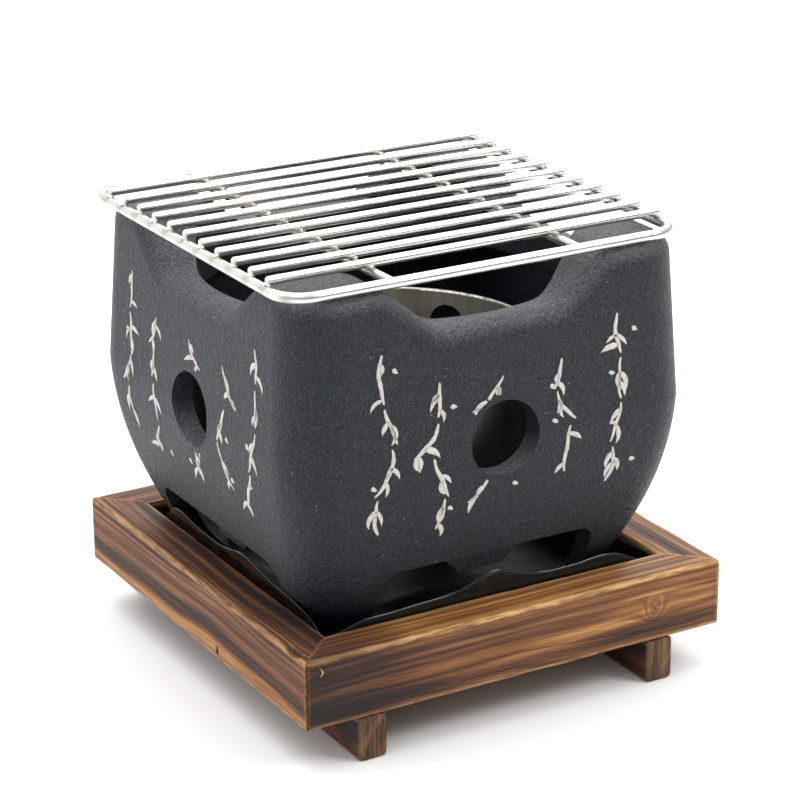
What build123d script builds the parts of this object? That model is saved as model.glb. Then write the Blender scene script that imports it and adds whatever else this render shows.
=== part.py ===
"""Tabletop hibachi: a cast stove body in a charred-wood tray, with a wire grate on top.

Units are millimetres, +Z is up and -Y is the front. The origin is on the table under the middle of
the tray. The stove and its grate stand loose in the tray, a little off its middle.
"""
from build123d import *
import math
import os

# ---------------------------------------------------------------- driving dimensions: tray
TRAY_SIDE = 155.0
FOOT_HEIGHT = 14.9
RAIL_HEIGHT = 23.4
RAIL_WIDTH = 15.0
RAIL_EDGE_ROUND = 1.0
PANEL_THICK = 5.0
PANEL_GAP = 0.2
LINER_THICK = 0.6
LINER_RIM = 17.0
LINER_GAP = 0.4
LINER_CORNER = 3.0
RUNNER_WIDTH = 10.0
RUNNER_CENTRE_X = 54.1
RUNNER_EDGE_ROUND = 0.6
NAIL_SHANK = 1.2
NAIL_HEAD = 2.0
NAIL_HEAD_THICK = 0.8
NAIL_LENGTH = 22.0
NAIL_SINK = 0.9
PANEL_NAIL_SIDE_Y = -17.5
PANEL_NAIL_BACK_X = 30.0
MITRE_NAIL_LEG = 6.0
MITRE_NAIL_THICK = 0.6
MITRE_NAIL_DEPTH = 10.0
MITRE_NAIL_APEX = 72.5
RUNNER_NAIL_Y = 68.0
RUNNER_NAIL_SINK = 6.0

# ---------------------------------------------------------------- driving dimensions: stove
STOVE_X = -3.0
STOVE_Y = 1.0
STOVE_TOP = 147.7
WIDEST_Z = 94.5
WIDEST_HALF = 73.0
BODY_CORNER = 17.5
LOWER_SLOPE = 0.035
LOWER_RADIUS = 128.0
UPPER_SLOPE = 0.055
RIM_ROUND = 6.0
MOUTH_RADIUS = 62.0
LIP_UNDERSIDE = 121.0
CHAMBER_WALL = 7.5
CHAMBER_CORNER = 14.0
FLOOR_TOP = 60.0
FLOOR_THICK = 5.0
FLOOR_VENT_RADIUS = 12.0
SKIRT_WALL = 7.5
SKIRT_CORNER = 10.0
PAD_HALF = 45.5
PAD_STEP = 1.6
PAD_CORNER = 6.0
NOTCH_BOTTOM_Z = 133.0
NOTCH_BOTTOM_HALF = 22.0
NOTCH_TOP_HALF = 40.0
NOTCH_ROUND = 13.0
HOLE_RADIUS = 12.4
HOLE_Z = 94.8
ARCH_HALF = 39.5
ARCH_TOP = 54.3
ARCH_CORNER = 6.0
LUG_TOP_HALF = 17.5
LUG_BOTTOM_HALF = 8.5
LUG_BOTTOM_Z = 46.5
LUG_INSET = 3.0
LUG_THICK = 6.0

# ---------------------------------------------------------------- driving dimensions: burner
RING_RADIUS = 52.0
RING_WALL = 1.0
RING_TOP = 107.0
RING_BEAD = 0.8
RING_HOLE_RADIUS = 6.3
RING_HOLE_DROP = 11.6
RING_HOLES = 8
RING_HOLE_PHASE = 36.0
CUP_RADIUS = 25.0
CUP_HEIGHT = 24.0
CUP_WALL = 0.8
LID_CLEARANCE = 0.1
LID_SKIRT = 6.0
LID_MOUTH_RADIUS = 14.0
SHUTTER_THICK = 1.0
SHUTTER_RADIUS = 16.0
SHUTTER_GAP = 0.3
SHUTTER_PIVOT_OUT = 21.5
SHUTTER_LUG_HALF = 3.2
SHUTTER_TAB_HEIGHT = 9.0
SHUTTER_TAB_HALF = 4.0
RIVET_RADIUS = 1.5
RIVET_CLEARANCE = 0.1
RIVET_HEAD = 2.8
RIVET_HEAD_THICK = 1.0

# ---------------------------------------------------------------- driving dimensions: grate
GRATE_X = -4.7
GRATE_Y = 3.0
FRAME_WIRE = 3.4
FRAME_HALF_X = 70.4
FRAME_HALF_Y = 68.2
FRAME_CORNER = 10.0
BAR_WIRE = 2.8
BAR_COUNT = 11
BAR_SPACING = 11.0
BAR_LENGTH = 141.4
BAR_OFFSET = 0.5
BAR_END_ROUND = 0.5
CROSS_WIRE = 3.0
CROSS_ROD_X = {"grate_cross_rod_left": -34.8, "grate_cross_rod_right": 31.9}
WELD_SINK = 0.25

# ---------------------------------------------------------------- derived places
TRAY_HALF = TRAY_SIDE / 2
RAIL_INNER = TRAY_HALF - RAIL_WIDTH
PANEL_TOP = FOOT_HEIGHT + PANEL_THICK
STOVE_BOTTOM = PANEL_TOP + LINER_THICK
FLOOR_BOTTOM = FLOOR_TOP - FLOOR_THICK
CUP_TOP = FLOOR_TOP + CUP_HEIGHT
LID_TOP = CUP_TOP + CUP_WALL
SHUTTER_BOTTOM = LID_TOP + SHUTTER_GAP
SHUTTER_TOP = SHUTTER_BOTTOM + SHUTTER_THICK
FRAME_Z = STOVE_TOP + FRAME_WIRE / 2
BAR_Z = FRAME_Z + FRAME_WIRE / 2 + BAR_WIRE / 2 - WELD_SINK
CROSS_Z = BAR_Z - BAR_WIRE / 2 - CROSS_WIRE / 2 + WELD_SINK
AT_STOVE = Pos(STOVE_X, STOVE_Y, 0)
AT_GRATE = Pos(GRATE_X, GRATE_Y, 0)
QUARTER_TURN = Rot(0, 0, 90)

os.makedirs("parts", exist_ok=True)


def write(name, solids):
    """One STEP file per sub-part; a list of solids becomes one group."""
    shape = Compound(children=solids) if isinstance(solids, list) else solids
    shape.label = name
    export_step(shape, f"parts/{name}.step")


def cylinder(radius, z_low, z_high, x=0.0, y=0.0):
    return Pos(x, y, (z_low + z_high) / 2) * Cylinder(radius, z_high - z_low)


def box(x_size, y_size, z_low, z_high, x=0.0, y=0.0):
    return Pos(x, y, (z_low + z_high) / 2) * Box(x_size, y_size, z_high - z_low)


def rounded_prism(half, corner, z_low, z_high):
    return extrude(Pos(0, 0, z_low) * RectangleRounded(2 * half, 2 * half, corner), z_high - z_low)


# ---------------------------------------------------------------- wooden tray
def rail(angle):
    """One mitred side rail, drawn at the front and turned about Z by angle."""
    outline = Polyline(
        (-TRAY_HALF, -TRAY_HALF),
        (TRAY_HALF, -TRAY_HALF),
        (RAIL_INNER, -RAIL_INNER),
        (-RAIL_INNER, -RAIL_INNER),
        close=True,
    )
    bar = extrude(Pos(0, 0, FOOT_HEIGHT) * make_face(outline), RAIL_HEIGHT)
    bar = fillet(bar.edges().filter_by(Axis.X), RAIL_EDGE_ROUND)
    return Rot(0, 0, angle) * bar


def nail(point, direction, sink):
    """A headed nail driven in at point along direction, with its head sunk below the surface."""
    plane = Plane(origin=point, z_dir=direction)
    head_place = Pos(0, 0, sink + NAIL_HEAD_THICK / 2)
    head = plane * head_place * Cylinder(NAIL_HEAD / 2, NAIL_HEAD_THICK)
    shank_place = Pos(0, 0, sink + NAIL_LENGTH / 2)
    shank = plane * shank_place * Cylinder(NAIL_SHANK / 2, NAIL_LENGTH)
    return head + shank


def nail_hole(point, direction, sink):
    """The hole above a sunk nail head."""
    return Plane(origin=point, z_dir=direction) * Cylinder(NAIL_HEAD / 2, 2 * sink)


def panel_nail_places():
    """Where each nail enters a side or back board, and which way it runs."""
    panel_z = FOOT_HEIGHT + PANEL_THICK / 2
    places = []
    for side in (-1, 1):
        places.append(((side * TRAY_HALF, PANEL_NAIL_SIDE_Y, panel_z), (-side, 0, 0)))
        places.append(((side * PANEL_NAIL_BACK_X, TRAY_HALF, panel_z), (0, -1, 0)))
    return places


def runner_nail_places():
    places = []
    for side in (-1, 1):
        for end in (-1, 1):
            places.append(((side * RUNNER_CENTRE_X, end * RUNNER_NAIL_Y, 0), (0, 0, 1)))
    return places


def mitre_nail(turn):
    """The bent steel strip pressed up into one mitre, with a leg in each of its two boards."""
    middle = MITRE_NAIL_THICK / 2 - MITRE_NAIL_APEX
    along = MITRE_NAIL_LEG / 2 - MITRE_NAIL_APEX
    top = FOOT_HEIGHT + MITRE_NAIL_DEPTH
    strip = box(MITRE_NAIL_LEG, MITRE_NAIL_THICK, FOOT_HEIGHT, top, along, middle)
    strip += box(MITRE_NAIL_THICK, MITRE_NAIL_LEG, FOOT_HEIGHT, top, middle, along)
    return Rot(0, 0, 90 * turn) * strip


def build_tray():
    nails = {
        "panel_nails": [nail(*place, NAIL_SINK) for place in panel_nail_places()],
        "mitre_nails": [mitre_nail(turn) for turn in range(4)],
        "runner_nails": [nail(*place, RUNNER_NAIL_SINK) for place in runner_nail_places()],
    }
    for name, group in nails.items():
        write(name, group)
    every_nail = sum(nails.values(), [])
    cut_from_rails = every_nail + [nail_hole(*place, NAIL_SINK) for place in panel_nail_places()]
    cut_from_runners = every_nail + [
        nail_hole(*place, RUNNER_NAIL_SINK) for place in runner_nail_places()
    ]

    for name, angle in (
        ("rail_front", 0),
        ("rail_right", 90),
        ("rail_back", 180),
        ("rail_left", 270),
    ):
        write(name, rail(angle) - cut_from_rails)

    panel_side = 2 * (RAIL_INNER - PANEL_GAP)
    write("base_panel", box(panel_side, panel_side, FOOT_HEIGHT, PANEL_TOP) - every_nail)

    liner_half = RAIL_INNER - LINER_GAP
    rim_top = STOVE_BOTTOM + LINER_RIM
    liner = rounded_prism(liner_half, LINER_CORNER, PANEL_TOP, rim_top)
    inside = LINER_CORNER - LINER_THICK
    liner -= rounded_prism(liner_half - LINER_THICK, inside, STOVE_BOTTOM, rim_top + 1)
    write("tray_liner", liner)

    for name, side in (("runner_left", -1), ("runner_right", 1)):
        x = side * RUNNER_CENTRE_X
        runner = box(RUNNER_WIDTH, TRAY_SIDE, 0, FOOT_HEIGHT, x=x)
        runner = fillet(runner.edges().filter_by(Axis.Y), RUNNER_EDGE_ROUND)
        write(name, runner - cut_from_runners)


# ---------------------------------------------------------------- cast stove body
def body_half(z):
    """Half the width of the stove across its flat sides at height z."""
    if z >= WIDEST_Z:
        return WIDEST_HALF - UPPER_SLOPE * (z - WIDEST_Z)
    drop = WIDEST_Z - z
    return WIDEST_HALF - LOWER_SLOPE * drop - LOWER_RADIUS + math.sqrt(LOWER_RADIUS**2 - drop**2)


def barrel(z_low, z_high, steps, inset=0.0, corner=BODY_CORNER):
    """A solid whose sections are rounded squares that follow body_half, drawn in by inset."""
    sections = []
    for step in range(steps + 1):
        z = z_low + (z_high - z_low) * step / steps
        width = 2 * (body_half(z) - inset)
        sections.append(Pos(0, 0, z) * RectangleRounded(width, width, corner))
    return loft(sections)


def across(sketch):
    """A sketch drawn in X and Z, run right through the stove along Y and again along X."""
    cutter = extrude(Plane.XZ * sketch, 2 * WIDEST_HALF, both=True)
    return [cutter, QUARTER_TURN * cutter]


def notch_sketch():
    """The finger notch in the top of each wall, as a trough that opens upwards."""
    slope = (NOTCH_TOP_HALF - NOTCH_BOTTOM_HALF) / (STOVE_TOP - NOTCH_BOTTOM_Z)
    above = NOTCH_ROUND
    top = STOVE_TOP + above
    top_half = NOTCH_TOP_HALF + slope * above
    outline = Polyline(
        (-top_half, top),
        (-NOTCH_BOTTOM_HALF, NOTCH_BOTTOM_Z),
        (NOTCH_BOTTOM_HALF, NOTCH_BOTTOM_Z),
        (top_half, top),
        close=True,
    )
    face = make_face(outline)
    return fillet(face.vertices().sort_by(Axis.Y)[:2], NOTCH_ROUND)


def arch_sketch():
    """The air opening at the foot of each wall, as a slot with rounded upper corners."""
    height = 2 * (ARCH_TOP - STOVE_BOTTOM)
    return Pos(0, STOVE_BOTTOM) * RectangleRounded(2 * ARCH_HALF, height, ARCH_CORNER)


def lug(angle):
    """The tapered lug that hangs in the middle of an arch, behind the outer face."""
    outline = Polyline(
        (-LUG_TOP_HALF, FLOOR_BOTTOM),
        (-LUG_BOTTOM_HALF, LUG_BOTTOM_Z),
        (LUG_BOTTOM_HALF, LUG_BOTTOM_Z),
        (LUG_TOP_HALF, FLOOR_BOTTOM),
        close=True,
    )
    front = body_half(LUG_BOTTOM_Z) - LUG_INSET
    plate = extrude(Plane.XZ.offset(front) * make_face(outline), -LUG_THICK)
    return Rot(0, 0, angle) * plate


def is_shoulder(edge):
    """Where the slope of a notch meets the flat top of a corner."""
    return edge.geom_type == GeomType.LINE and abs(edge.center().Z - STOVE_TOP) < 0.01


def is_outer_rim(edge):
    middle = edge.center()
    clear_of_walls = max(abs(middle.X), abs(middle.Y)) > MOUTH_RADIUS
    return clear_of_walls and middle.Z > LIP_UNDERSIDE


def build_stove():
    body = barrel(STOVE_BOTTOM, WIDEST_Z, 6) + barrel(WIDEST_Z, STOVE_TOP, 2)
    body -= across(notch_sketch())
    body = fillet(body.edges().filter_by(is_shoulder), RIM_ROUND)
    body = fillet(body.edges().filter_by(is_outer_rim), RIM_ROUND)

    body -= rounded_prism(PAD_HALF, PAD_CORNER, STOVE_TOP - PAD_STEP, STOVE_TOP + 1)
    body -= cylinder(MOUTH_RADIUS, LIP_UNDERSIDE - 1, STOVE_TOP + 1)
    body -= barrel(FLOOR_TOP, LIP_UNDERSIDE, 4, CHAMBER_WALL, CHAMBER_CORNER)
    body -= cylinder(FLOOR_VENT_RADIUS, FLOOR_BOTTOM - 1, FLOOR_TOP + 1)
    body -= barrel(STOVE_BOTTOM - 1, FLOOR_BOTTOM, 3, SKIRT_WALL, SKIRT_CORNER)
    body -= across(arch_sketch())
    body -= across(Pos(0, HOLE_Z) * Circle(HOLE_RADIUS))
    for turn in range(4):
        body += lug(90 * turn)
    write("body_shell", AT_STOVE * body)


# ---------------------------------------------------------------- burner inside the stove
def build_burner():
    ring = cylinder(RING_RADIUS, FLOOR_TOP, RING_TOP - RING_BEAD)
    ring += Pos(0, 0, RING_TOP - RING_BEAD) * Torus(RING_RADIUS - RING_WALL / 2, RING_BEAD)
    ring -= cylinder(RING_RADIUS - RING_WALL, FLOOR_TOP - 1, RING_TOP - RING_BEAD)
    hole_z = RING_TOP - RING_HOLE_DROP
    drill = Plane((0, 0, hole_z), z_dir=(1, 0, 0)) * Cylinder(
        RING_HOLE_RADIUS, 2 * RING_RADIUS, align=(Align.CENTER, Align.CENTER, Align.MIN)
    )
    for hole in range(RING_HOLES):
        ring -= Rot(0, 0, RING_HOLE_PHASE + 360 * hole / RING_HOLES) * drill
    write("wind_ring", AT_STOVE * ring)

    cup = cylinder(CUP_RADIUS, FLOOR_TOP, CUP_TOP)
    cup -= cylinder(CUP_RADIUS - CUP_WALL, FLOOR_TOP + CUP_WALL, CUP_TOP + 1)
    write("fuel_cup", AT_STOVE * cup)

    skirt_inner = CUP_RADIUS + LID_CLEARANCE
    lid = cylinder(skirt_inner + CUP_WALL, CUP_TOP - LID_SKIRT, LID_TOP)
    lid -= cylinder(skirt_inner, CUP_TOP - LID_SKIRT - 1, CUP_TOP)
    lid -= cylinder(LID_MOUTH_RADIUS, CUP_TOP - 1, LID_TOP + 1)
    lid -= cylinder(RIVET_RADIUS, CUP_TOP - 1, LID_TOP + 1, x=SHUTTER_PIVOT_OUT)
    write("burner_lid", AT_STOVE * lid)

    shutter = cylinder(SHUTTER_RADIUS, SHUTTER_BOTTOM, SHUTTER_TOP)
    arm_x = SHUTTER_PIVOT_OUT / 2
    arm = 2 * SHUTTER_LUG_HALF
    shutter += box(SHUTTER_PIVOT_OUT, arm, SHUTTER_BOTTOM, SHUTTER_TOP, x=arm_x)
    shutter += cylinder(SHUTTER_LUG_HALF, SHUTTER_BOTTOM, SHUTTER_TOP, x=SHUTTER_PIVOT_OUT)
    tab_x = SHUTTER_THICK / 2 - SHUTTER_RADIUS
    shutter += box(
        SHUTTER_THICK,
        2 * SHUTTER_TAB_HALF,
        SHUTTER_BOTTOM,
        SHUTTER_TOP + SHUTTER_TAB_HEIGHT,
        x=tab_x,
    )
    pin_hole = RIVET_RADIUS + RIVET_CLEARANCE
    shutter -= cylinder(pin_hole, SHUTTER_BOTTOM - 1, SHUTTER_TOP + 1, x=SHUTTER_PIVOT_OUT)
    write("burner_shutter", AT_STOVE * shutter)

    head_z = SHUTTER_TOP + SHUTTER_GAP
    rivet = cylinder(RIVET_RADIUS, CUP_TOP, head_z, x=SHUTTER_PIVOT_OUT)
    rivet += cylinder(RIVET_HEAD, head_z, head_z + RIVET_HEAD_THICK, x=SHUTTER_PIVOT_OUT)
    write("shutter_rivet", AT_STOVE * rivet)


# ---------------------------------------------------------------- wire grate
def frame_wire():
    """The outer wire: a rounded rectangle bent in one plane."""
    outline = RectangleRounded(2 * FRAME_HALF_X, 2 * FRAME_HALF_Y, FRAME_CORNER)
    path = (Pos(0, 0, FRAME_Z) * outline).wire()
    section = Plane(origin=path @ 0, z_dir=path % 0) * Circle(FRAME_WIRE / 2)
    return sweep(section, path=path)


def build_grate():
    frame = frame_wire()
    write("grate_frame_wire", AT_GRATE * frame)
    supports = [frame]
    for name, x in CROSS_ROD_X.items():
        rod = Pos(x, 0, CROSS_Z) * Rot(90, 0, 0) * Cylinder(CROSS_WIRE / 2, 2 * FRAME_HALF_Y)
        rod -= frame
        supports.append(rod)
        write(name, AT_GRATE * rod)
    for index in range(BAR_COUNT):
        y = BAR_SPACING * (index - (BAR_COUNT - 1) / 2)
        bar = Rot(0, 90, 0) * Cylinder(BAR_WIRE / 2, BAR_LENGTH)
        bar = fillet(bar.edges().filter_by(GeomType.CIRCLE), BAR_END_ROUND)
        bar = Pos(BAR_OFFSET, y, BAR_Z) * bar - supports
        write(f"grate_bar_{index + 1:02d}", AT_GRATE * bar)


build_tray()
build_stove()
build_burner()
build_grate()
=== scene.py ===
import math
import random

import bmesh
import bpy
from mathutils import Matrix, Vector, noise
from mathutils.bvhtree import BVHTree


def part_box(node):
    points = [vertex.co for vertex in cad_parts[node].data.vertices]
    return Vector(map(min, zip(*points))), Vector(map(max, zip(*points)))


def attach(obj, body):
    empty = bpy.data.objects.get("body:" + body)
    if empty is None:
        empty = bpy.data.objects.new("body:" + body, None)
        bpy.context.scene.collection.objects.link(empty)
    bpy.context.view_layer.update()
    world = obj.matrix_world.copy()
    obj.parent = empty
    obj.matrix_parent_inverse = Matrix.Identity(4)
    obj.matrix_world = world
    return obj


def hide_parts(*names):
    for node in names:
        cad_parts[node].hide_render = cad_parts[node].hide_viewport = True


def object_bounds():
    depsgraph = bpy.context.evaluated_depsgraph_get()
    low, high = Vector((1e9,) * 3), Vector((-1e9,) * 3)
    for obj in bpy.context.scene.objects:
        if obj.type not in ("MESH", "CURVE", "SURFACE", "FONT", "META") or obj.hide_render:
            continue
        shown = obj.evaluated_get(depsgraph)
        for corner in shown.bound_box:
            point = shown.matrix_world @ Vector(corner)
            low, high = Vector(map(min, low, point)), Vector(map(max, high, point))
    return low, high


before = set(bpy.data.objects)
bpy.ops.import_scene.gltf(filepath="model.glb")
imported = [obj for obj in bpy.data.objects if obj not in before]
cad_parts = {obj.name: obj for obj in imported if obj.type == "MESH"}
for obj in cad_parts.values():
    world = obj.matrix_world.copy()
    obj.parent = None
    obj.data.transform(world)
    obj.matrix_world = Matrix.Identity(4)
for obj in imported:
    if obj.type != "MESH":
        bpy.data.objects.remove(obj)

# Looks for the tabletop hibachi: torched wooden tray, crumpled black liner, sand-coated cast stove
# with brush marks, brushed wind ring and polished wire grate. Lengths are in metres; MM makes a
# length in millimetres into one.
MM = 0.001
cad_low, cad_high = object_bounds()

# ---------------------------------------------------------------- camera
CAMERA_AZIMUTH = math.radians(-30.373)
CAMERA_ELEVATION = math.radians(20.402)
CAMERA_ROLL = math.radians(-0.174)
CAMERA_DISTANCE = 0.96696
CAMERA_TARGET = Vector((0.0198, 0.03176, 0.070))
CAMERA_LENS = 125.77

# ---------------------------------------------------------------- wood
WOOD_STEP = 0.6 * MM
ARRIS_RADIUS = 1.0 * MM
MITRE_GAP = 0.06 * MM
PITH_ACROSS, PITH_UP = 40.0, -14.0
ARRIS_BAND = 1.3 * MM
END_ROUND = 0.8
BOARD_TOP_FACE = 22.6
TORN_ABOVE = 21.0

# ---------------------------------------------------------------- brush marks
MARK_COLUMNS = (-43.0, -23.5, 0.0, 21.5, 43.0)
MARK_LIFT = 0.07 * MM
MARK_ROOT = 0.05 * MM
STROKE_STEP = 0.7
SIDE_HOLE = Vector((0.0, 94.8))
SIDE_HOLE_KEEP_OUT = 14.2

# ---------------------------------------------------------------- other pieces
LINER_FLOOR_LOOPS = 36
LINER_WALL_LOOPS = 26
LINER_SPACING = 2.2 * MM
LINER_CORNER = 3.0 * MM
LINER_SHEET = 0.3 * MM
WIND_RING_RADIUS = 52.0
FLOOR_HALF = 5.0


# ================================================================ node trees
class Look:
    """A material whose Principled shader is fed by nodes added one call at a time."""

    def __init__(self, name):
        self.material = bpy.data.materials.new(name)
        self.material.use_nodes = True
        self.tree = self.material.node_tree
        self.shader = next(n for n in self.tree.nodes if n.type == "BSDF_PRINCIPLED")
        place = self.add("ShaderNodeTexCoord").outputs["Object"]
        self.millimetres = self.vector("SCALE", place, scale=1 / MM)

    def add(self, kind, **settings):
        node = self.tree.nodes.new(kind)
        for key, value in settings.items():
            setattr(node, key, value)
        return node

    def feed(self, socket, value):
        if isinstance(value, bpy.types.NodeSocket):
            self.tree.links.new(value, socket)
        else:
            socket.default_value = value

    def set(self, **values):
        """Plain numbers and colours on the shader's own sockets."""
        for key, value in values.items():
            self.shader.inputs[key.replace("_", " ")].default_value = value

    def link(self, socket_name, value):
        self.feed(self.shader.inputs[socket_name], value)

    def math(self, operation, *values, clamp=False):
        node = self.add("ShaderNodeMath", operation=operation, use_clamp=clamp)
        for socket, value in zip(node.inputs, values):
            self.feed(socket, value)
        return node.outputs[0]

    def vector(self, operation, *values, scale=None):
        node = self.add("ShaderNodeVectorMath", operation=operation)
        for socket, value in zip(node.inputs, values):
            self.feed(socket, value)
        if scale is not None:
            self.feed(node.inputs["Scale"], scale)
        return node.outputs["Value" if operation == "LENGTH" else "Vector"]

    def split(self, vector):
        node = self.add("ShaderNodeSeparateXYZ")
        self.feed(node.inputs[0], vector)
        return node.outputs[0], node.outputs[1], node.outputs[2]

    def join(self, x, y, z):
        node = self.add("ShaderNodeCombineXYZ")
        for socket, value in zip(node.inputs, (x, y, z)):
            self.feed(socket, value)
        return node.outputs[0]

    def noise(self, vector, scale, detail=3.0, roughness=0.55, distortion=0.0):
        node = self.add("ShaderNodeTexNoise")
        self.feed(node.inputs["Vector"], vector)
        node.inputs["Scale"].default_value = scale
        node.inputs["Detail"].default_value = detail
        node.inputs["Roughness"].default_value = roughness
        node.inputs["Distortion"].default_value = distortion
        return node.outputs["Fac"]

    def line_noise(self, value, scale, detail=2.0, roughness=0.5):
        node = self.add("ShaderNodeTexNoise", noise_dimensions="1D")
        self.feed(node.inputs["W"], value)
        node.inputs["Scale"].default_value = scale
        node.inputs["Detail"].default_value = detail
        node.inputs["Roughness"].default_value = roughness
        return node.outputs["Fac"]

    def ramp(self, value, *stops):
        node = self.add("ShaderNodeValToRGB")
        elements = node.color_ramp.elements
        while len(elements) < len(stops):
            elements.new(0.5)
        for element, (position, colour) in zip(elements, stops):
            element.position = position
            element.color = (*colour, 1.0) if isinstance(colour, tuple) else (colour,) * 3 + (1.0,)
        self.feed(node.inputs[0], value)
        return node.outputs["Color"]

    def range(self, value, low, high, to_low, to_high):
        node = self.add("ShaderNodeMapRange")
        for socket, number in zip(node.inputs, (value, low, high, to_low, to_high)):
            self.feed(socket, number)
        return node.outputs[0]

    def blend(self, factor, first, second, mode="MIX"):
        node = self.add("ShaderNodeMix", data_type="RGBA", blend_type=mode)
        self.feed(node.inputs[0], factor)
        for socket, colour in ((node.inputs[6], first), (node.inputs[7], second)):
            self.feed(socket, (*colour, 1.0) if isinstance(colour, tuple) else colour)
        return node.outputs[2]

    def attribute(self, name):
        return self.add("ShaderNodeAttribute", attribute_name=name)

    def bump(self, height, distance, strength):
        node = self.add("ShaderNodeBump")
        node.inputs["Strength"].default_value = strength
        node.inputs["Distance"].default_value = distance
        self.feed(node.inputs["Height"], height)
        self.link("Normal", node.outputs["Normal"])


# ================================================================ materials
def wood_look():
    """Torched, brushed softwood: bands by growth ring, fine fibres, char with some painted shade, and pale
    worn edges.
    """
    look = Look("torched_wood")
    grain = look.attribute("grain").outputs["Vector"]
    rings = look.attribute("rings").outputs["Fac"]
    char_and_shade = look.attribute("char_and_shade").outputs["Fac"]
    wear = look.attribute("wear").outputs["Fac"]

    along_fibres = look.vector("MULTIPLY", grain, (0.045, 1.9, 1.9))
    fibres = look.noise(along_fibres, 1.0, 4.0, 0.62)
    streaks = look.noise(look.vector("MULTIPLY", grain, (0.012, 0.5, 0.5)), 1.0, 3.0, 0.6, 0.3)
    clouds = look.noise(look.vector("MULTIPLY", grain, (0.022, 0.06, 0.06)), 1.0, 3.0, 0.5)
    bands = look.line_noise(rings, 0.22, 2.0, 0.6)
    fine_bands = look.line_noise(rings, 1.1, 2.0, 0.5)

    tone = look.math("MULTIPLY", bands, 0.46)
    tone = look.math("MULTIPLY_ADD", fine_bands, 0.20, tone)
    tone = look.math("MULTIPLY_ADD", streaks, 0.28, tone)
    tone = look.math("MULTIPLY_ADD", fibres, 0.22, tone)
    tone = look.math("MULTIPLY_ADD", clouds, 0.08, tone)
    # darker tone from charring, and from painted shade on the back and left boards
    tone = look.math("MULTIPLY_ADD", look.math("ADD", char_and_shade, 0.45), -0.16, tone)
    colour = look.ramp(
        tone,
        (0.30, (0.016, 0.010, 0.009)),
        (0.40, (0.050, 0.021, 0.012)),
        (0.49, (0.160, 0.058, 0.020)),
        (0.56, (0.290, 0.120, 0.036)),
        (0.66, (0.600, 0.320, 0.105)),
    )
    edge = look.noise(look.vector("MULTIPLY", grain, (0.12, 0.9, 0.9)), 1.0, 3.0, 0.6)
    edge = look.math("MULTIPLY", look.range(edge, 0.38, 0.62, 0.15, 1.0), wear)
    colour = look.blend(edge, colour, (0.66, 0.38, 0.15))
    pits = look.range(fibres, 0.30, 0.40, 0.55, 1.0)
    colour = look.blend(1.0, colour, look.join(pits, pits, pits), "MULTIPLY")
    look.link("Base Color", colour)
    look.link("Roughness", look.range(tone, 0.36, 0.70, 0.66, 0.48))
    look.set(Specular_IOR_Level=0.32)
    height = look.math("MULTIPLY_ADD", fibres, 0.35, look.math("MULTIPLY", fine_bands, 0.65))
    look.bump(height, 0.35 * MM, 0.55)
    return look.material


def casting_look():
    """Matt charcoal powder coat: fine sandy grain, a painted highlight on upward-facing surfaces, with a few
    pale specks.
    """
    look = Look("charcoal_coat")
    sand = look.noise(look.millimetres, 1.25, 3.0, 0.65)
    lumps = look.noise(look.millimetres, 0.42, 2.0, 0.5)
    colour = look.ramp(
        sand,
        (0.36, (0.0015, 0.0035, 0.0065)),
        (0.52, (0.0060, 0.0100, 0.0150)),
        (0.68, (0.0330, 0.0410, 0.0490)),
    )
    # painted highlight: surfaces that face up get a paler colour, standing in for overhead light on edges
    # and pads
    facing_up = look.split(look.add("ShaderNodeNewGeometry").outputs["Normal"])[2]
    painted_top_highlight = look.range(facing_up, 0.12, 0.75, 0.0, 0.75)
    painted_top_highlight = look.math("MULTIPLY", painted_top_highlight, look.range(sand, 0.38, 0.62, 0.25, 1.0))
    colour = look.blend(painted_top_highlight, colour, (0.135, 0.140, 0.145))
    specks = look.add("ShaderNodeTexVoronoi", feature="F1")
    look.feed(specks.inputs["Vector"], look.millimetres)
    specks.inputs["Scale"].default_value = 0.34
    near = look.range(specks.outputs["Distance"], 0.05, 0.11, 1.0, 0.0)
    chosen = look.range(look.split(specks.outputs["Color"])[0], 0.86, 0.90, 0.0, 0.55)
    colour = look.blend(look.math("MULTIPLY", near, chosen), colour, (0.42, 0.43, 0.43))
    look.link("Base Color", colour)
    look.link("Roughness", look.range(sand, 0.3, 0.7, 0.52, 0.34))
    look.set(Specular_IOR_Level=0.36)
    height = look.math("MULTIPLY_ADD", lumps, 0.45, look.math("MULTIPLY", sand, 0.55))
    look.bump(height, 1.20 * MM, 1.0)
    return look.material


def paint_look():
    """Off-white brushed enamel, a little thin in places."""
    look = Look("mark_paint")
    thin = look.noise(look.millimetres, 0.9, 3.0, 0.6)
    look.link("Base Color", look.ramp(thin, (0.30, (0.42, 0.40, 0.36)), (0.50, (0.62, 0.58, 0.52))))
    look.link("Roughness", look.range(thin, 0.3, 0.7, 0.62, 0.48))
    look.bump(look.noise(look.millimetres, 1.6, 3.0, 0.6), 0.10 * MM, 0.5)
    return look.material


def liner_look():
    """Thin sheet with a glossy black coat and faint scuffs, duller on the floor than at the rim."""
    look = Look("gloss_black")
    scuffs = look.noise(look.vector("MULTIPLY", look.millimetres, (0.35, 0.10, 0.35)), 1.0, 4.0, 0.6)
    colour = look.ramp(scuffs, (0.35, (0.0045, 0.0050, 0.0058)), (0.75, (0.013, 0.014, 0.015)))
    look.link("Base Color", colour)
    up = look.split(look.millimetres)[2]
    deep = look.range(up, 24.0, 40.0, 1.0, 0.0)
    gloss = look.range(scuffs, 0.35, 0.70, 0.13, 0.28)
    look.link("Roughness", look.math("MULTIPLY_ADD", deep, 0.26, gloss))
    look.link("Specular IOR Level", look.range(deep, 0.0, 1.0, 0.42, 0.06))
    look.bump(look.noise(look.millimetres, 0.12, 2.0, 0.5), 0.5 * MM, 0.35)
    return look.material


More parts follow.
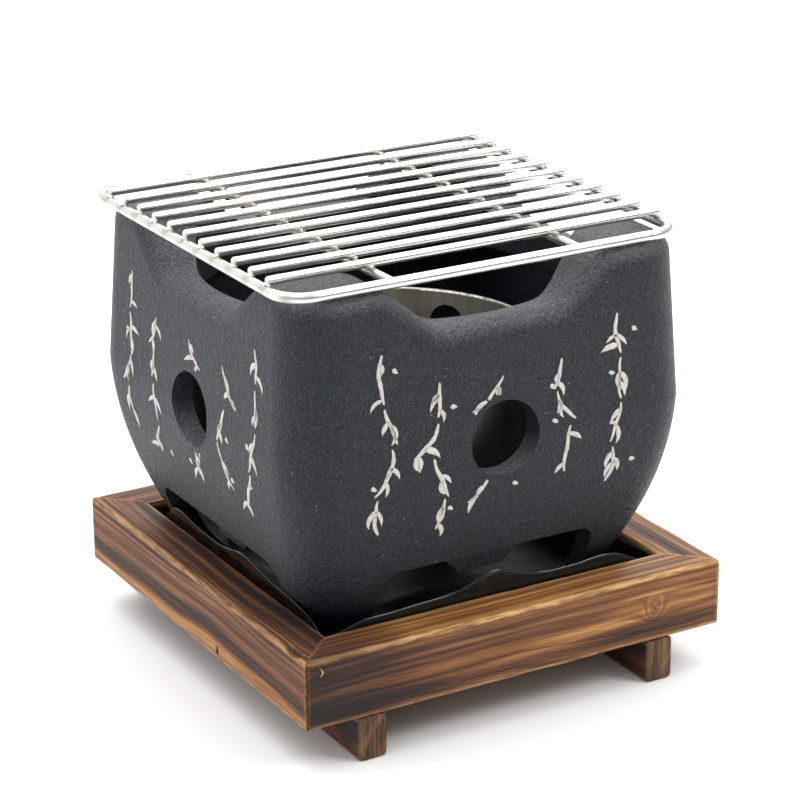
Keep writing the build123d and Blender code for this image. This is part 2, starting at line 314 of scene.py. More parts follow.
def wire_look(grate):
    """Polished stainless wire, tinted brown and dulled beside the spot welds."""
    look = Look("polished_wire")
    x, y, z = look.split(look.millimetres)
    off_line = None
    for place in grate["lines_x"]:
        gap = look.math("ABSOLUTE", look.math("SUBTRACT", x, place / MM))
        off_line = gap if off_line is None else look.math("MINIMUM", off_line, gap)
    half_pitch = grate["pitch"] / MM / 2
    from_bar = look.math("PINGPONG", look.math("SUBTRACT", y, grate["first_bar_y"] / MM), half_pitch)
    distance = look.vector("LENGTH", look.join(off_line, from_bar, 0.0))
    uneven = look.noise(look.millimetres, 0.8, 3.0, 0.6)
    heat = look.math("MULTIPLY_ADD", look.math("SUBTRACT", uneven, 0.5), -5.0, distance)
    under_bars = grate["under_bars"] / MM
    below = look.range(z, under_bars - 0.2, under_bars + 1.3, 1.0, 0.12)
    tint = look.math("MULTIPLY", look.range(heat, 0.6, 3.4, 1.0, 0.0), below)
    drawn = look.noise(look.vector("MULTIPLY", look.millimetres, (0.08, 0.08, 6.0)), 1.0, 2.0, 0.5)
    steel = look.ramp(drawn, (0.35, (0.64, 0.63, 0.60)), (0.65, (0.82, 0.81, 0.78)))
    burnt = look.ramp(uneven, (0.36, (0.20, 0.145, 0.11)), (0.62, (0.50, 0.42, 0.34)))
    look.link("Base Color", look.blend(look.math("MULTIPLY", tint, 0.75), steel, burnt))
    polish = look.range(drawn, 0.3, 0.7, 0.20, 0.30)
    look.link("Roughness", look.math("MULTIPLY_ADD", tint, 0.22, polish))
    look.set(Metallic=1.0)
    look.bump(drawn, 0.05 * MM, 0.25)
    return look.material


def ring_look(centre):
    """Stainless sheet brushed straight up and down round a ring."""
    look = Look("brushed_ring")
    x, y, z = look.split(look.vector("SUBTRACT", look.millimetres, tuple(centre / MM)))
    turn = look.math("MULTIPLY", look.math("ARCTAN2", y, x), WIND_RING_RADIUS)
    fine = look.join(look.math("MULTIPLY", turn, 2.6), 0.0, look.math("MULTIPLY", z, 0.05))
    broad = look.join(look.math("MULTIPLY", turn, 0.16), 0.0, look.math("MULTIPLY", z, 0.02))
    lines = look.noise(fine, 1.0, 3.0, 0.6)
    shade = look.noise(broad, 1.0, 2.0, 0.5)
    tone = look.math("MULTIPLY_ADD", shade, 0.5, look.math("MULTIPLY", lines, 0.5))
    look.link("Base Color", look.ramp(tone, (0.36, (0.50, 0.475, 0.44)), (0.64, (0.78, 0.75, 0.70))))
    look.link("Roughness", look.range(lines, 0.3, 0.7, 0.30, 0.44))
    look.set(Metallic=1.0)
    look.bump(lines, 0.08 * MM, 0.4)
    return look.material


def burner_look():
    """Pressed stainless sheet with soft scratches and a trace of heat colour."""
    look = Look("pressed_steel")
    scratches = look.noise(look.vector("MULTIPLY", look.millimetres, (3.0, 0.12, 0.6)), 1.0, 3.0, 0.6)
    heat = look.noise(look.millimetres, 0.06, 2.0, 0.5)
    steel = look.ramp(scratches, (0.34, (0.40, 0.39, 0.37)), (0.66, (0.60, 0.59, 0.57)))
    tint = look.range(heat, 0.48, 0.62, 0.0, 0.6)
    look.link("Base Color", look.blend(tint, steel, (0.46, 0.36, 0.24)))
    look.link("Roughness", look.range(scratches, 0.3, 0.7, 0.24, 0.38))
    look.set(Metallic=1.0)
    look.bump(scratches, 0.05 * MM, 0.4)
    return look.material


def nail_look():
    """Dull wire-nail steel with brown oxide."""
    look = Look("dull_nail")
    rust = look.noise(look.millimetres, 1.4, 3.0, 0.6)
    look.link("Base Color", look.ramp(rust, (0.38, (0.22, 0.21, 0.20)), (0.66, (0.15, 0.085, 0.055))))
    look.link("Roughness", look.range(rust, 0.3, 0.7, 0.40, 0.75))
    look.set(Metallic=0.85)
    look.bump(rust, 0.08 * MM, 0.5)
    return look.material


def floor_look():
    """Nearly white, matt and very slightly uneven."""
    look = Look("studio_floor")
    tone = look.noise(look.millimetres, 0.004, 2.0, 0.5)
    look.link("Base Color", look.ramp(tone, (0.3, (0.88, 0.88, 0.88)), (0.7, (0.90, 0.90, 0.90))))
    look.set(Roughness=0.9, Specular_IOR_Level=0.1)
    return look.material


# ================================================================ mesh helpers
def finish_piece(mesh, name, material, body, stands_for=()):
    """A bmesh becomes a named object that rides on a body and wears one material."""
    data = bpy.data.meshes.new(name)
    mesh.to_mesh(data)
    mesh.free()
    data.materials.append(material)
    for polygon in data.polygons:
        polygon.use_smooth = True
    piece = bpy.data.objects.new(name, data)
    bpy.context.scene.collection.objects.link(piece)
    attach(piece, body)
    if stands_for:
        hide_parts(*stands_for)
    return piece


def paint_node(node, material):
    """A CAD node keeps its mesh and gets a material."""
    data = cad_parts[node].data
    data.materials.clear()
    data.materials.append(material)


def wave(x, y=0.0, z=0.0):
    """Smooth noise from about -1 to 1."""
    return noise.noise(Vector((x, y, z)))


def bell(value, middle, width):
    """1 at the middle, falling away smoothly on both sides."""
    return math.exp(-(((value - middle) / width) ** 2))


# ================================================================ wooden boards
def section(width, height, radius, step):
    """(across, up, closeness to an arris) round a rounded rectangle from (0, 0) to (width, height)."""
    arcs = (
        (radius, radius, 180),
        (width - radius, radius, 270),
        (width - radius, height - radius, 0),
        (radius, height - radius, 90),
    )
    points = []
    for index, (across, up, start) in enumerate(arcs):
        for part in range(5):
            angle = math.radians(start + 22.5 * part)
            points.append((across + radius * math.cos(angle), up + radius * math.sin(angle), 1.0))
        last = points[-1]
        follow = arcs[(index + 1) % 4]
        angle = math.radians(follow[2])
        first = (follow[0] + radius * math.cos(angle), follow[1] + radius * math.sin(angle))
        run = math.dist(last[:2], first)
        count = max(2, round(run / step))
        for part in range(1, count):
            share = part / count
            edge = min(share, 1 - share) * run
            closeness = max(0.0, 1 - edge / ARRIS_BAND)
            points.append(
                (
                    last[0] + (first[0] - last[0]) * share,
                    last[1] + (first[1] - last[1]) * share,
                    closeness * closeness,
                )
            )
    return points


def ring_distance(s, across, up, seed, knot=None):
    """Distance in millimetres from the pith, with the grain's wander and its bulge round a knot."""
    if knot:
        knot_s, knot_up, length, height = knot
        near = math.exp(-(((s - knot_s) / length) ** 2) - ((up - knot_up) / height) ** 2)
        up = knot_up + (up - knot_up) * (1 - 0.72 * near)
    wander = 3.4 * wave(s * 0.008, across * 0.02 + seed, up * 0.02)
    wander += 0.6 * wave(s * 0.03, across * 0.05 + seed, up * 0.05)
    radius = math.hypot(across - PITH_ACROSS, up - PITH_UP) + wander
    if knot:
        eye = math.hypot((s - knot_s) / (0.42 * length), (up - knot_up) / (0.55 * height))
        inside = max(0.0, 1 - eye)
        radius += (5.0 - 4.5 * eye) * inside
    return radius + 40 * seed


def board(half_length, width, height, place, char_and_shade, seed, square_ends, knot=None, dents=(),
          up_grain=1.0):
    """A worn board. half_length gives the board's reach at each distance across it; place turns
    (along, across, up) into a point of the frame; dents move points and darken them."""
    outline = section(width, height, ARRIS_RADIUS, WOOD_STEP)
    mesh = bmesh.new()
    grain = mesh.verts.layers.float_vector.new("grain")
    rings = mesh.verts.layers.float.new("rings")
    # this darkness layer holds charring, plus painted shade on the back and left boards
    burnt = mesh.verts.layers.float.new("char_and_shade")
    worn = mesh.verts.layers.float.new("wear")
    count = round(2 * half_length(0.0) / WOOD_STEP)
    middle_across, middle_up = width / 2, height / 2
    loops = []
    for index in range(count + 1):
        share = 2 * index / count - 1
        loop = []
        for across, up, arris in outline:
            along = share * half_length(across)
            s, a, u = along / MM, across / MM, up / MM
            end = (half_length(across) - abs(along)) / MM
            inset = 0.0
            if square_ends and end < END_ROUND:
                inset = END_ROUND - math.sqrt(max(0.0, END_ROUND**2 - (END_ROUND - end) ** 2))
            rub = arris * (0.18 + 0.32 * max(0.0, wave(s * 0.07, a * 0.2 + seed, u * 0.2)))
            pull = (inset + rub) * MM
            direction = Vector((middle_across - across, middle_up - up))
            direction.normalize()
            sway = 0.10 * MM * wave(s * 0.03 + seed, a * 0.1, u * 0.1)
            new_across = across + direction.x * (pull + sway)
            new_up = up + direction.y * (pull + sway)
            dark = char_and_shade(s, a, u)
            for dent in dents:
                down, aside, darker = dent(s, a, u)
                new_up -= down * MM
                new_across += aside * MM
                dark = max(dark, darker)
            vert = mesh.verts.new(place(along, new_across, new_up))
            vert[grain] = Vector((s + 700 * seed, a + 90 * seed, u * up_grain))
            vert[rings] = ring_distance(s, a, u, seed, knot)
            vert[burnt] = dark
            edge = max(arris, 1 - end)
            vert[worn] = edge * (1 - 0.8 * min(1.0, max(0.0, dark)))
            loop.append(vert)
        loops.append(loop)
    size = len(outline)
    for first, second in zip(loops, loops[1:]):
        for index in range(size):
            after = (index + 1) % size
            mesh.faces.new((first[index], first[after], second[after], second[index]))
    mesh.faces.new(list(reversed(loops[0])))
    mesh.faces.new(loops[-1])
    bmesh.ops.recalc_face_normals(mesh, faces=mesh.faces)
    return mesh


def turned(angle, outer):
    """Places a rail's (along, across, up) at one side of the tray."""
    turn = Matrix.Rotation(angle, 3, "Z")
    return lambda along, across, up: turn @ Vector((along, across - outer, up))


def make_tray(wood):
    """Boards, feet and bottom board. Each burn function says how dark the wood is at a point of the
    board, in millimetres along, across and up: charring, with painted shade on the back and left
    boards. Each dent says how far the wood is pushed in there."""
    low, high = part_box("rail_front")
    outer = high.x
    width = high.y - low.y
    bottom, height = low.z, high.z - low.z

    def reach(across):
        corner = max(0.0, 0.9 * MM - across) ** 2 / (1.6 * MM)
        return outer - across - MITRE_GAP - corner

    def front_burn(s, a, u):
        left = 1 / (1 + math.exp((s + 44 + 8 * wave(s * 0.05, u * 0.2)) / 9))
        low_band = 0.75 * bell(u, 4.5, 3.2) / (1 + math.exp((s + 20) / 16))
        right_low = 0.95 * bell(u, 6.0, 3.0) * bell(s, 55, 22)
        halo = bell(s, 56, 17) * bell(u, 13, 5) + 0.7 * bell(s, 15, 28) * bell(u, 7.5 + 0.06 * s, 1.8)
        knot = 1.9 * bell(math.hypot(s - 51.6, u - 11.8), 0, 1.1)
        top = 0.75 * (1 - left) / (1 + math.exp(-(u - BOARD_TOP_FACE) / 0.3))
        return 0.38 + 0.95 * left * bell(u, 13, 14) + low_band + right_low - 1.15 * halo - top + knot

    def left_burn_and_shade(s, a, u):
        top = 1 / (1 + math.exp(-(u - BOARD_TOP_FACE) / 0.3))
        near = 1 / (1 + math.exp(-(s + 22) / 9))
        inward = min(1.0, a / 9)
        # the top darkens toward the front end, and as painted shade toward the inner edge beside the stove
        return 0.55 + top * near * (0.22 + 0.38 * inward) - 0.40 * bell(u, 4, 4) * bell(s, 10, 40)

    def plain_burn(s, a, u):
        return 0.32 + 0.35 * wave(s * 0.03, a * 0.1, u * 0.1)

    def back_burn_and_shade(s, a, u):
        # painted shade: the back board's inner face darkens toward its foot, inside the tray
        painted_inner_shade = 0.8 * bell(a, 15, 2.0) * bell(u, 0, 16)
        return plain_burn(s, a, u) + painted_inner_shade

    def splinter(s, a, u):
        spot = ((s - 67.5) / 6.0) ** 2 + ((a - 1.6) / 2.1) ** 2
        if u < TORN_ABOVE or spot > 1:
            return 0.0, 0.0, 0.0
        rough = 0.7 + 0.8 * wave(s * 1.1, a * 1.3, 5.0)
        return 1.5 * (1 - spot) * rough, 0.0, 1.1 * (1 - spot) + 0.5

    def nail_pit(s, a, u):
        spot = ((s - 17.4) / 0.75) ** 2 + ((u - 3.4) / 1.3) ** 2
        if a > 2 or spot > 1:
            return 0.0, 0.0, 0.0
        return 0.0, 1.6 * (1 - spot), 1.6

    def ragged_edge(s, a, u):
        spot = ((s + 68) / 8.0) ** 2 + ((a - 0.3) / 1.0) ** 2
        if u < TORN_ABOVE or spot > 1:
            return 0.0, 0.0, 0.0
        return 0.8 * (1 - spot) * max(0.0, wave(s * 0.8, 2.0)), 0.0, 0.0

    rails = (
        ("rail_front", 0, front_burn, 1, (51.6, 26.6 - bottom / MM, 15.0, 6.5), (ragged_edge,)),
        ("rail_right", 90, plain_burn, 2, None, ()),
        ("rail_back", 180, back_burn_and_shade, 3, None, ()),
        ("rail_left", 270, left_burn_and_shade, 4, None, (splinter, nail_pit)),
    )
    for node, degrees, char_and_shade, seed, knot, dents in rails:
        place = turned(math.radians(degrees), outer)
        mesh = board(
            reach, width, height,
            lambda along, across, up: place(along, across, up + bottom),
            char_and_shade, seed, False, knot, dents,
        )
        finish_piece(mesh, node.replace("rail", "board"), wood, "tray", (node,))

    for node, seed in (("runner_left", 5), ("runner_right", 6)):
        low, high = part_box(node)
        corner = low.copy()
        mesh = board(
            lambda across: outer, high.x - low.x, high.z - low.z,
            lambda along, across, up: Vector((corner.x + across, along, corner.z + up)),
            lambda s, a, u: 1.25 + 0.3 * wave(s * 0.04, a * 0.2, u * 0.2), seed, True, up_grain=0.06,
        )
        finish_piece(mesh, node.replace("runner", "foot"), wood, "tray", (node,))

    low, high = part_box("base_panel")
    start = low.copy()
    mesh = board(
        lambda across: high.x, high.y - low.y, high.z - low.z,
        lambda along, across, up: Vector((along, start.y + across, start.z + up)),
        lambda s, a, u: 0.35, 7, False,
    )
    finish_piece(mesh, "bottom_board", wood, "tray", ("base_panel",))


def make_splinter(wood):
    """A loose curl of wood standing off the front board's corner."""
    low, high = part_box("rail_front")
    mesh = bmesh.new()
    layers = [mesh.verts.layers.float.new(name) for name in ("rings", "char_and_shade", "wear")]
    grain = mesh.verts.layers.float_vector.new("grain")
    start = Vector((low.x + 4.2 * MM, low.y - 0.15 * MM, high.z - 2.0 * MM))
    rows = []
    for index in range(13):
        share = index / 12
        bend = math.radians(150 * share)
        centre = start + Vector((math.sin(bend) * 1.3, -0.45 * math.sin(math.pi * share), -3.4 * share)) * MM
        half = 0.42 * MM * math.sin(math.pi * min(1.0, 0.25 + 0.75 * (1 - share)))
        thick = 0.12 * MM
        row = []
        for across, out in ((-1, 0), (0, -1), (1, 0), (0, 1)):
            vert = mesh.verts.new(centre + Vector((across * half, out * thick, 0)))
            vert[layers[0]] = 60.0
            vert[layers[1]] = 0.0
            vert[layers[2]] = 1.0
            vert[grain] = Vector((index, across, out))
            row.append(vert)
        rows.append(row)
    for first, second in zip(rows, rows[1:]):
        for index in range(4):
            after = (index + 1) % 4
            mesh.faces.new((first[index], first[after], second[after], second[index]))
    mesh.faces.new(list(reversed(rows[0])))
    mesh.faces.new(rows[-1])
    bmesh.ops.recalc_face_normals(mesh, faces=mesh.faces)
    finish_piece(mesh, "splinter_curl", wood, "tray")


# ================================================================ crumpled liner
def square_loop(half, radius, spacing):
    """Points and side names round a rounded square, anticlockwise from the middle of the front."""
    points = []
    straight = half - radius
    count = max(3, round(straight / spacing))
    for side in range(4):
        turn = Matrix.Rotation(math.pi / 2 * side, 2)
        for index in range(-count, count):
            share = index / count
            points.append((turn @ Vector((straight * share, -half)), side, straight * share))
        for part in range(4):
            angle = math.radians(-90 + 22.5 * part)
            corner = Vector((straight + radius * math.cos(angle), -straight + radius * math.sin(angle)))
            points.append((turn @ corner, side, straight))
    return points


def make_liner(material, stove, centre):
    """A thin sheet pressed down by the stove, with buckles and an uneven rim that the stove spreads."""
    low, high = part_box("tray_liner")
    half = high.x - 0.2 * MM
    floor = low.z + 0.5 * MM
    lean = 0.5 * MM

    def rim_height(side, along):
        """Height of the rim in millimetres; sides count from the front, anticlockwise."""
        s = along / MM
        if side == 0:
            rise = 41.0 + 5.0 * bell(s, 0, 11) + 1.2 * bell(s, 42, 9) - 0.8 * bell(s, -40, 9)
            return rise - 5.0 * bell(s, 60, 9) - 3.5 * bell(s, -60, 9)
        if side == 3:
            y = -s
            rise = 44.2 + 4.8 * bell(y, -16, 12) + 3.0 * bell(y, 32, 9)
            return rise - 7.5 * bell(y, -60, 10) - 13 * bell(y, 62, 14)
        if side == 1:
            return 36.4 + 0.8 * wave(s * 0.06, 3.0)
        return 35.2 + 1.2 * wave(s * 0.05, 7.0) - 7.5 * bell(s, 60, 8)

    reach_cache = {}

    def stove_reach(side, up):
        """How far out the stove's wall stands at a height, beside its arch."""
        key = (side, round(up / MM, 1))
        if key not in reach_cache:
            turn = Matrix.Rotation(math.pi / 2 * side, 3, "Z")
            start = turn @ Vector((43 * MM, -150 * MM, 0)) + Vector((centre.x, centre.y, up))
            hit = stove.ray_cast(start, turn @ Vector((0, 1, 0)))[0]
            reach_cache[key] = -(turn.inverted() @ hit).y if hit else 0.0
        return reach_cache[key]

    mesh = bmesh.new()
    loops = []
    for part in range(1, LINER_FLOOR_LOOPS + 1):
        size = half * part / LINER_FLOOR_LOOPS
        loop = []
        for point, side, along in square_loop(half, LINER_CORNER, LINER_SPACING):
            flat = point * (size / half)
            x, y = flat.x / MM, flat.y / MM
            buckle = 0.55 * wave(x * 0.028, y * 0.028, 2.0) + 0.3 * wave(x * 0.07, y * 0.07, 9.0)
            crease = 1.1 * bell(y + 18 + 5 * wave(x * 0.03, 4.0), 0, 3.5) * bell(x, 10, 40)
            crease += 1.2 * bell(x + 37 + 5 * wave(y * 0.03, 6.0), 0, 3.5) * bell(y, 25, 30)
            settle = min(1.0, size / half * 4)
            up = floor + max(-0.35, (buckle + crease) * settle) * MM
            at_foot = part == LINER_FLOOR_LOOPS
            loop.append(mesh.verts.new((flat.x, flat.y, floor if at_foot else up)))
        loops.append(loop)
    for level in range(1, LINER_WALL_LOOPS + 1):
        loop = []
        for point, side, along in square_loop(half, LINER_CORNER, LINER_SPACING):
            top = rim_height(side, along) * MM
            up = floor + (top - floor) * level / LINER_WALL_LOOPS
            s = along / MM
            spread = max(0.0, stove_reach(side, up) + lean - half) if up > 34 * MM else 0.0
            ripple = 0.35 * wave(s * 0.09 + 11 * side, up / MM * 0.10, 1.0) * level / LINER_WALL_LOOPS
            outward = (spread - abs(ripple) * MM) if spread else -abs(ripple) * MM
            scale = (half + outward) / half
            across = Matrix.Rotation(math.pi / 2 * side, 2) @ Vector((0, -1))
            moved = point + across * (half * (scale - 1))
            loop.append(mesh.verts.new((moved.x, moved.y, up)))
        loops.append(loop)
    for first, second in zip(loops, loops[1:]):
        size = len(first)
        for index in range(size):
            after = (index + 1) % size
            mesh.faces.new((first[index], first[after], second[after], second[index]))
    mesh.faces.new(list(reversed(loops[0])))
    bmesh.ops.recalc_face_normals(mesh, faces=mesh.faces)
    liner = finish_piece(mesh, "crumpled_liner", material, "tray", ("tray_liner",))
    thickness = liner.modifiers.new("sheet", "SOLIDIFY")
    thickness.thickness = LINER_SHEET
    thickness.offset = 0.0


# ================================================================ brush marks
def stroke_points(start, heading, length, bend, wobble, rng):
    """A hand-drawn line in a wall's plane: it turns steadily and wavers."""
    points = [Vector(start)]
    steps = max(6, int(length / STROKE_STEP))
    angle = math.radians(heading)
    phase = rng.uniform(0, 6.28)
    for index in range(steps):
        share = index / steps
        turn = math.radians(bend) / steps + wobble * math.cos(phase + 6.28 * share * 1.5) / steps
        angle += turn
        points.append(points[-1] + Vector((math.sin(angle), -math.cos(angle))) * (length / steps))
    return points


def column_strokes(column, top, bottom, rng):
    """One column of reeds: a wavering stem in lengths, with leaf dabs and seeds beside it."""
    strokes = []
    up = top
    side = rng.choice((-1, 1))
    sway = rng.uniform(-1.5, 1.5)
    while up > bottom + 6:
        length = min(rng.uniform(9, 17), up - bottom)
        start = (column + sway, up)
        spine = stroke_points(start, rng.uniform(-22, 22), length, rng.uniform(-60, 60), 1.3, rng)
        strokes.append((spine, rng.uniform(1.1, 1.55), "stem"))
        for _ in range(rng.randint(2, 3)):
            joint = spine[int(len(spine) * rng.uniform(0.1, 0.9))]
            heading = side * rng.uniform(40, 100)
            reach = rng.uniform(3.6, 7.4)
            dab = stroke_points(joint, heading, reach, -side * rng.uniform(30, 110), 0.4, rng)
            strokes.append((dab, rng.uniform(1.3, 2.0), "leaf"))
            side = -side
        if rng.random() < 0.6:
            seed = Vector((column + side * rng.uniform(3.4, 4.8), up - length * rng.uniform(0.2, 0.8)))
            strokes.append((stroke_points(seed, rng.uniform(20, 60), 2.4, 30, 0.2, rng), 1.5, "leaf"))
        end = spine[-1]
        sway = max(-2.4, min(2.4, end.x - column))
        up = end.y - rng.uniform(0.6, 2.6)
    return strokes


def make_marks(material, stove, centre):
    """The same kind of reed drawing on each wall, projected onto the casting."""
    walls = (
        ("front", 0, 118, 69, 11),
        ("right", 1, 118, 70, 23),
        ("back", 2, 118, 69, 37),
        ("left", 3, 117, 69, 53),
    )
    for label, quarter, top, bottom, seed in walls:
        rng = random.Random(seed)
        turn = Matrix.Rotation(math.pi / 2 * quarter, 3, "Z")
        mesh = bmesh.new()
        for column in MARK_COLUMNS:
            reach = top + (12 if abs(column) > 30 else 0) + rng.uniform(-3, 2)
            foot = bottom + rng.uniform(-2, 4)
            for spine, width, kind in column_strokes(column, reach, foot, rng):
                draw_stroke(mesh, spine, width, kind, stove, centre, turn, rng)
        bmesh.ops.recalc_face_normals(mesh, faces=mesh.faces)
        finish_piece(mesh, f"reed_marks_{label}", material, "stove")


def stroke_width(share, width, kind, flutter):
    """A leaf swells and closes to a point; a stem keeps a third of its width at the ends."""
    if kind == "leaf":
        return width * math.sin(math.pi * min(1.0, share * 0.92 + 0.12)) ** 0.8 * flutter
    return width * (0.35 + 0.65 * math.sin(math.pi * share) ** 0.6) * flutter


def draw_stroke(mesh, spine, width, kind, stove, centre, turn, rng):
    """Lays a stroke on the casting as ribbons, broken where it meets the side hole or an edge."""
    outward = turn @ Vector((0, -1, 0))
    rows = []
    flutter = rng.uniform(0, 50)
    for index, point in enumerate(spine):
        before = spine[max(0, index - 1)]
        after = spine[min(len(spine) - 1, index + 1)]
        heading = (after - before).normalized()
        share = index / (len(spine) - 1)
        wide = stroke_width(share, width, kind, 1 + 0.3 * wave(index * 0.5, flutter))
        aside = Vector((-heading.y, heading.x)) * wide / 2
        row = []
        for sign in (-1, 0, 1):
            u, up = point + aside * sign
            if (Vector((u, up)) - SIDE_HOLE).length < SIDE_HOLE_KEEP_OUT:
                row = []
                break
            start = turn @ Vector((u * MM, -0.15, 0)) + Vector((centre.x, centre.y, up * MM))
            hit, normal = stove.ray_cast(start, -outward)[:2]
            if hit is None or normal.dot(outward) < 0.6:
                row = []
                break
            row.append((hit + normal * MARK_LIFT, hit - normal * MARK_ROOT))
        rows.append(row)
    run = []
    for row in rows + [[]]:
        if row:
            run.append(row)
            continue
        if len(run) > 2:
            close_ribbon(mesh, run)
        run = []


def close_ribbon(mesh, run):
    """A thin closed strip from rows of (top, bottom) pairs."""
    tops = [[mesh.verts.new(top) for top, bottom in row] for row in run]
    feet = [[mesh.verts.new(bottom) for top, bottom in row] for row in run]
    last = len(run[0]) - 1
    for index in range(len(run) - 1):
        for step in range(last):
            mesh.faces.new((tops[index][step], tops[index][step + 1],
                            tops[index + 1][step + 1], tops[index + 1][step]))
            mesh.faces.new((feet[index][step + 1], feet[index][step],
                            feet[index + 1][step], feet[index + 1][step + 1]))
        for step in (0, last):
            mesh.faces.new((tops[index][step], feet[index][step],
                            feet[index + 1][step], tops[index + 1][step]))
    for index in (0, len(run) - 1):
        for step in range(last):
            mesh.faces.new((tops[index][step], tops[index][step + 1],
                            feet[index][step + 1], feet[index][step]))


# ================================================================ grate
def grate_layout():
    """Where the grate's wires run and cross, from the CAD nodes."""
    bars = [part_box(name) for name in sorted(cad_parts) if name.startswith("grate_bar_")]
    rods = [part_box(name) for name in ("grate_cross_rod_left", "grate_cross_rod_right")]
    low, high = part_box("grate_frame_wire")
    wire = (high.z - low.z) / 2
    lines = [low.x + wire, high.x - wire] + [(a.x + b.x) / 2 for a, b in rods]
    bar_y = sorted((a.y + b.y) / 2 for a, b in bars)
    return {
        "lines_x": lines,
        "bar_y": bar_y,
        "first_bar_y": bar_y[0],
        "pitch": (bar_y[-1] - bar_y[0]) / (len(bar_y) - 1),
        "under_bars": bars[0][0].z,
        "rods_x": lines[2:],
        "frame_y": (low.y + wire, high.y - wire),
        "frame_z": (low.z + high.z) / 2,
    }


def bead(mesh, centre, size, seed):
    """An uneven nugget of melted wire."""
    made = bmesh.ops.create_icosphere(mesh, subdivisions=3, radius=1.0)
    for vert in made["verts"]:
        lump = 1 + 0.24 * noise.noise(vert.co * 1.6 + Vector((seed * 3.1, 0, 0)))
        vert.co = Vector((vert.co.x * size[0], vert.co.y * size[1], vert.co.z * size[2])) * lump + centre


def make_welds(material, grate):
    rng = random.Random(5)
    mesh = bmesh.new()
    seed = 0
    for x in grate["lines_x"]:
        for y in grate["bar_y"]:
            seed += 1
            drift = Vector((rng.uniform(-0.3, 0.3), rng.uniform(-0.25, 0.1), 0)) * MM
            centre = Vector((x, y, grate["under_bars"] + 0.15 * MM)) + drift
            size = (rng.uniform(1.35, 1.8) * MM, rng.uniform(1.35, 1.6) * MM, rng.uniform(0.75, 1.0) * MM)
            bead(mesh, centre, size, seed)
    for x in grate["rods_x"]:
        for y, inward in zip(grate["frame_y"], (1, -1)):
            seed += 1
            centre = Vector((x, y + inward * 1.5 * MM, grate["frame_z"] + 0.5 * MM))
            bead(mesh, centre, (1.9 * MM, 1.0 * MM, 1.2 * MM), seed)
    finish_piece(mesh, "weld_beads", material, "grate")


# ================================================================ stage
def make_floor(material):
    """The studio floor, level with the lowest point of the object."""
    mesh = bmesh.new()
    bmesh.ops.create_grid(mesh, x_segments=24, y_segments=24, size=FLOOR_HALF)
    data = bpy.data.meshes.new("studio_floor")
    mesh.to_mesh(data)
    mesh.free()
    data.materials.append(material)
    floor = bpy.data.objects.new("studio_floor", data)
    bpy.context.scene.collection.objects.link(floor)
    floor.location.z = cad_low.z


def softbox(name, place, aim, width, height, power):
    """A rectangular area light turned toward a point."""
    light = bpy.data.lights.new(name, "AREA")
    light.shape = "RECTANGLE"
    light.size, light.size_y = width, height
    light.energy = power
    lamp = bpy.data.objects.new(name, light)
    bpy.context.scene.collection.objects.link(lamp)
    lamp.location = place
    lamp.rotation_euler = (Vector(aim) - Vector(place)).to_track_quat("-Z", "Y").to_euler()


def make_world():
    """White surroundings that light the object more from above and behind than from the front."""
    world = bpy.data.worlds.new("studio")
    bpy.context.scene.world = world
    world.use_nodes = True
    tree = world.node_tree
    back = next(n for n in tree.nodes if n.type == "BACKGROUND")
    place = tree.nodes.new("ShaderNodeTexCoord")
    toward = tree.nodes.new("ShaderNodeVectorMath")
    toward.operation = "DOT_PRODUCT"
    toward.inputs[1].default_value = (-0.15, 0.55, 0.82)
    level = tree.nodes.new("ShaderNodeMapRange")
    tree.links.new(place.outputs["Generated"], toward.inputs[0])
    tree.links.new(toward.outputs["Value"], level.inputs[0])
    for socket, number in zip(list(level.inputs)[1:5], (-0.40, 0.60, 0.20, 1.20)):
        socket.default_value = number
    ray = tree.nodes.new("ShaderNodeLightPath")
    seen = tree.nodes.new("ShaderNodeMath")
    seen.operation = "MAXIMUM"
    tree.links.new(level.outputs[0], seen.inputs[0])
    tree.links.new(ray.outputs["Is Camera Ray"], seen.inputs[1])
    tree.links.new(seen.outputs[0], back.inputs["Strength"])
    back.inputs["Color"].default_value = (0.98, 0.99, 1.0, 1.0)


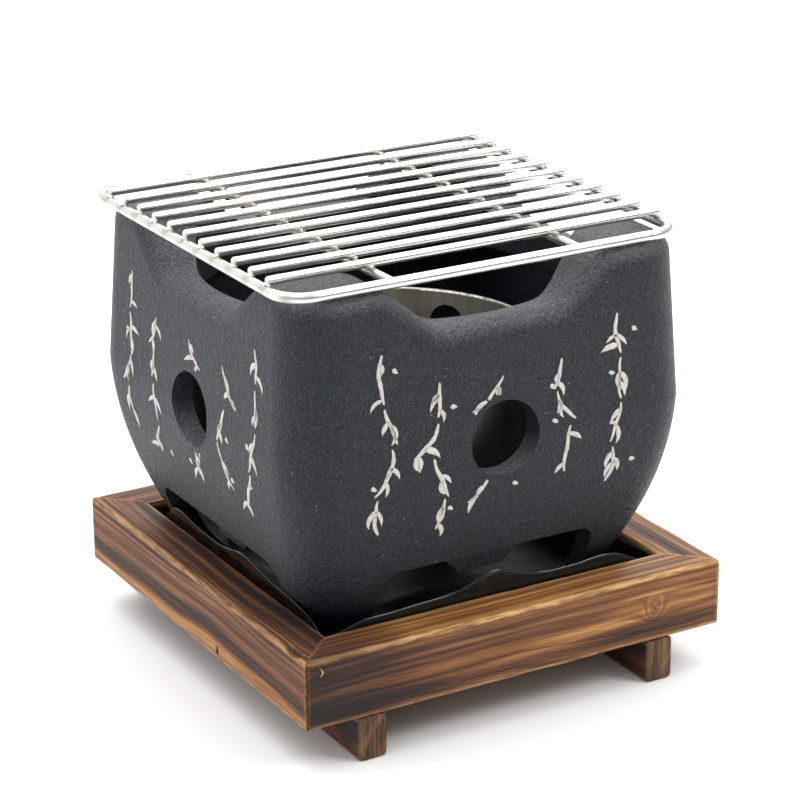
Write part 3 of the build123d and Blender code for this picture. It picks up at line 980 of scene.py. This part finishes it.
def make_camera():
    """A long lens looking down at the front-left corner."""
    data = bpy.data.cameras.new("camera")
    data.sensor_width = 36.0
    data.lens = CAMERA_LENS
    data.clip_start, data.clip_end = 0.01, 50.0
    camera = bpy.data.objects.new("camera", data)
    bpy.context.scene.collection.objects.link(camera)
    back = Vector((
        math.sin(CAMERA_AZIMUTH) * math.cos(CAMERA_ELEVATION),
        -math.cos(CAMERA_AZIMUTH) * math.cos(CAMERA_ELEVATION),
        math.sin(CAMERA_ELEVATION),
    ))
    right = Vector((0, 0, 1)).cross(back).normalized()
    up = back.cross(right)
    level = Matrix((right, up, back)).transposed()
    pose = (level @ Matrix.Rotation(CAMERA_ROLL, 3, "Z")).to_4x4()
    pose.translation = CAMERA_TARGET + back * CAMERA_DISTANCE
    camera.matrix_world = pose
    bpy.context.scene.camera = camera


# ================================================================ build
make_camera()
make_world()
make_floor(floor_look())
softbox("overhead", (-0.15, 0.25, 1.3), (0, 0, 0.05), 1.4, 1.2, 13.0)
softbox("back_right", (0.75, 0.95, 0.75), (0, 0, 0.08), 0.9, 0.8, 5.0)
softbox("left", (-1.2, 0.35, 0.45), (0, 0, 0.08), 0.9, 0.8, 0.8)
softbox("front_right", (0.62, -0.72, 0.98), (0, 0, 0.10), 0.45, 0.45, 6.0)
bpy.context.scene.view_settings.view_transform = "Standard"

stove_low, stove_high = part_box("body_shell")
stove_centre = (stove_low + stove_high) / 2
stove_tree = BVHTree.FromObject(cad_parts["body_shell"], bpy.context.evaluated_depsgraph_get())
ring_low, ring_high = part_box("wind_ring")

wood = wood_look()
make_tray(wood)
make_splinter(wood)
make_liner(liner_look(), stove_tree, stove_centre)
paint_node("body_shell", casting_look())
make_marks(paint_look(), stove_tree, stove_centre)
paint_node("wind_ring", ring_look((ring_low + ring_high) / 2))
burner_steel = burner_look()
for node in ("fuel_cup", "burner_lid", "burner_shutter", "shutter_rivet"):
    paint_node(node, burner_steel)
nail_steel = nail_look()
for node in ("panel_nails", "mitre_nails", "runner_nails"):
    paint_node(node, nail_steel)
grate = grate_layout()
wire = wire_look(grate)
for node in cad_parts:
    if node.startswith("grate_"):
        paint_node(node, wire)
make_welds(wire, grate)
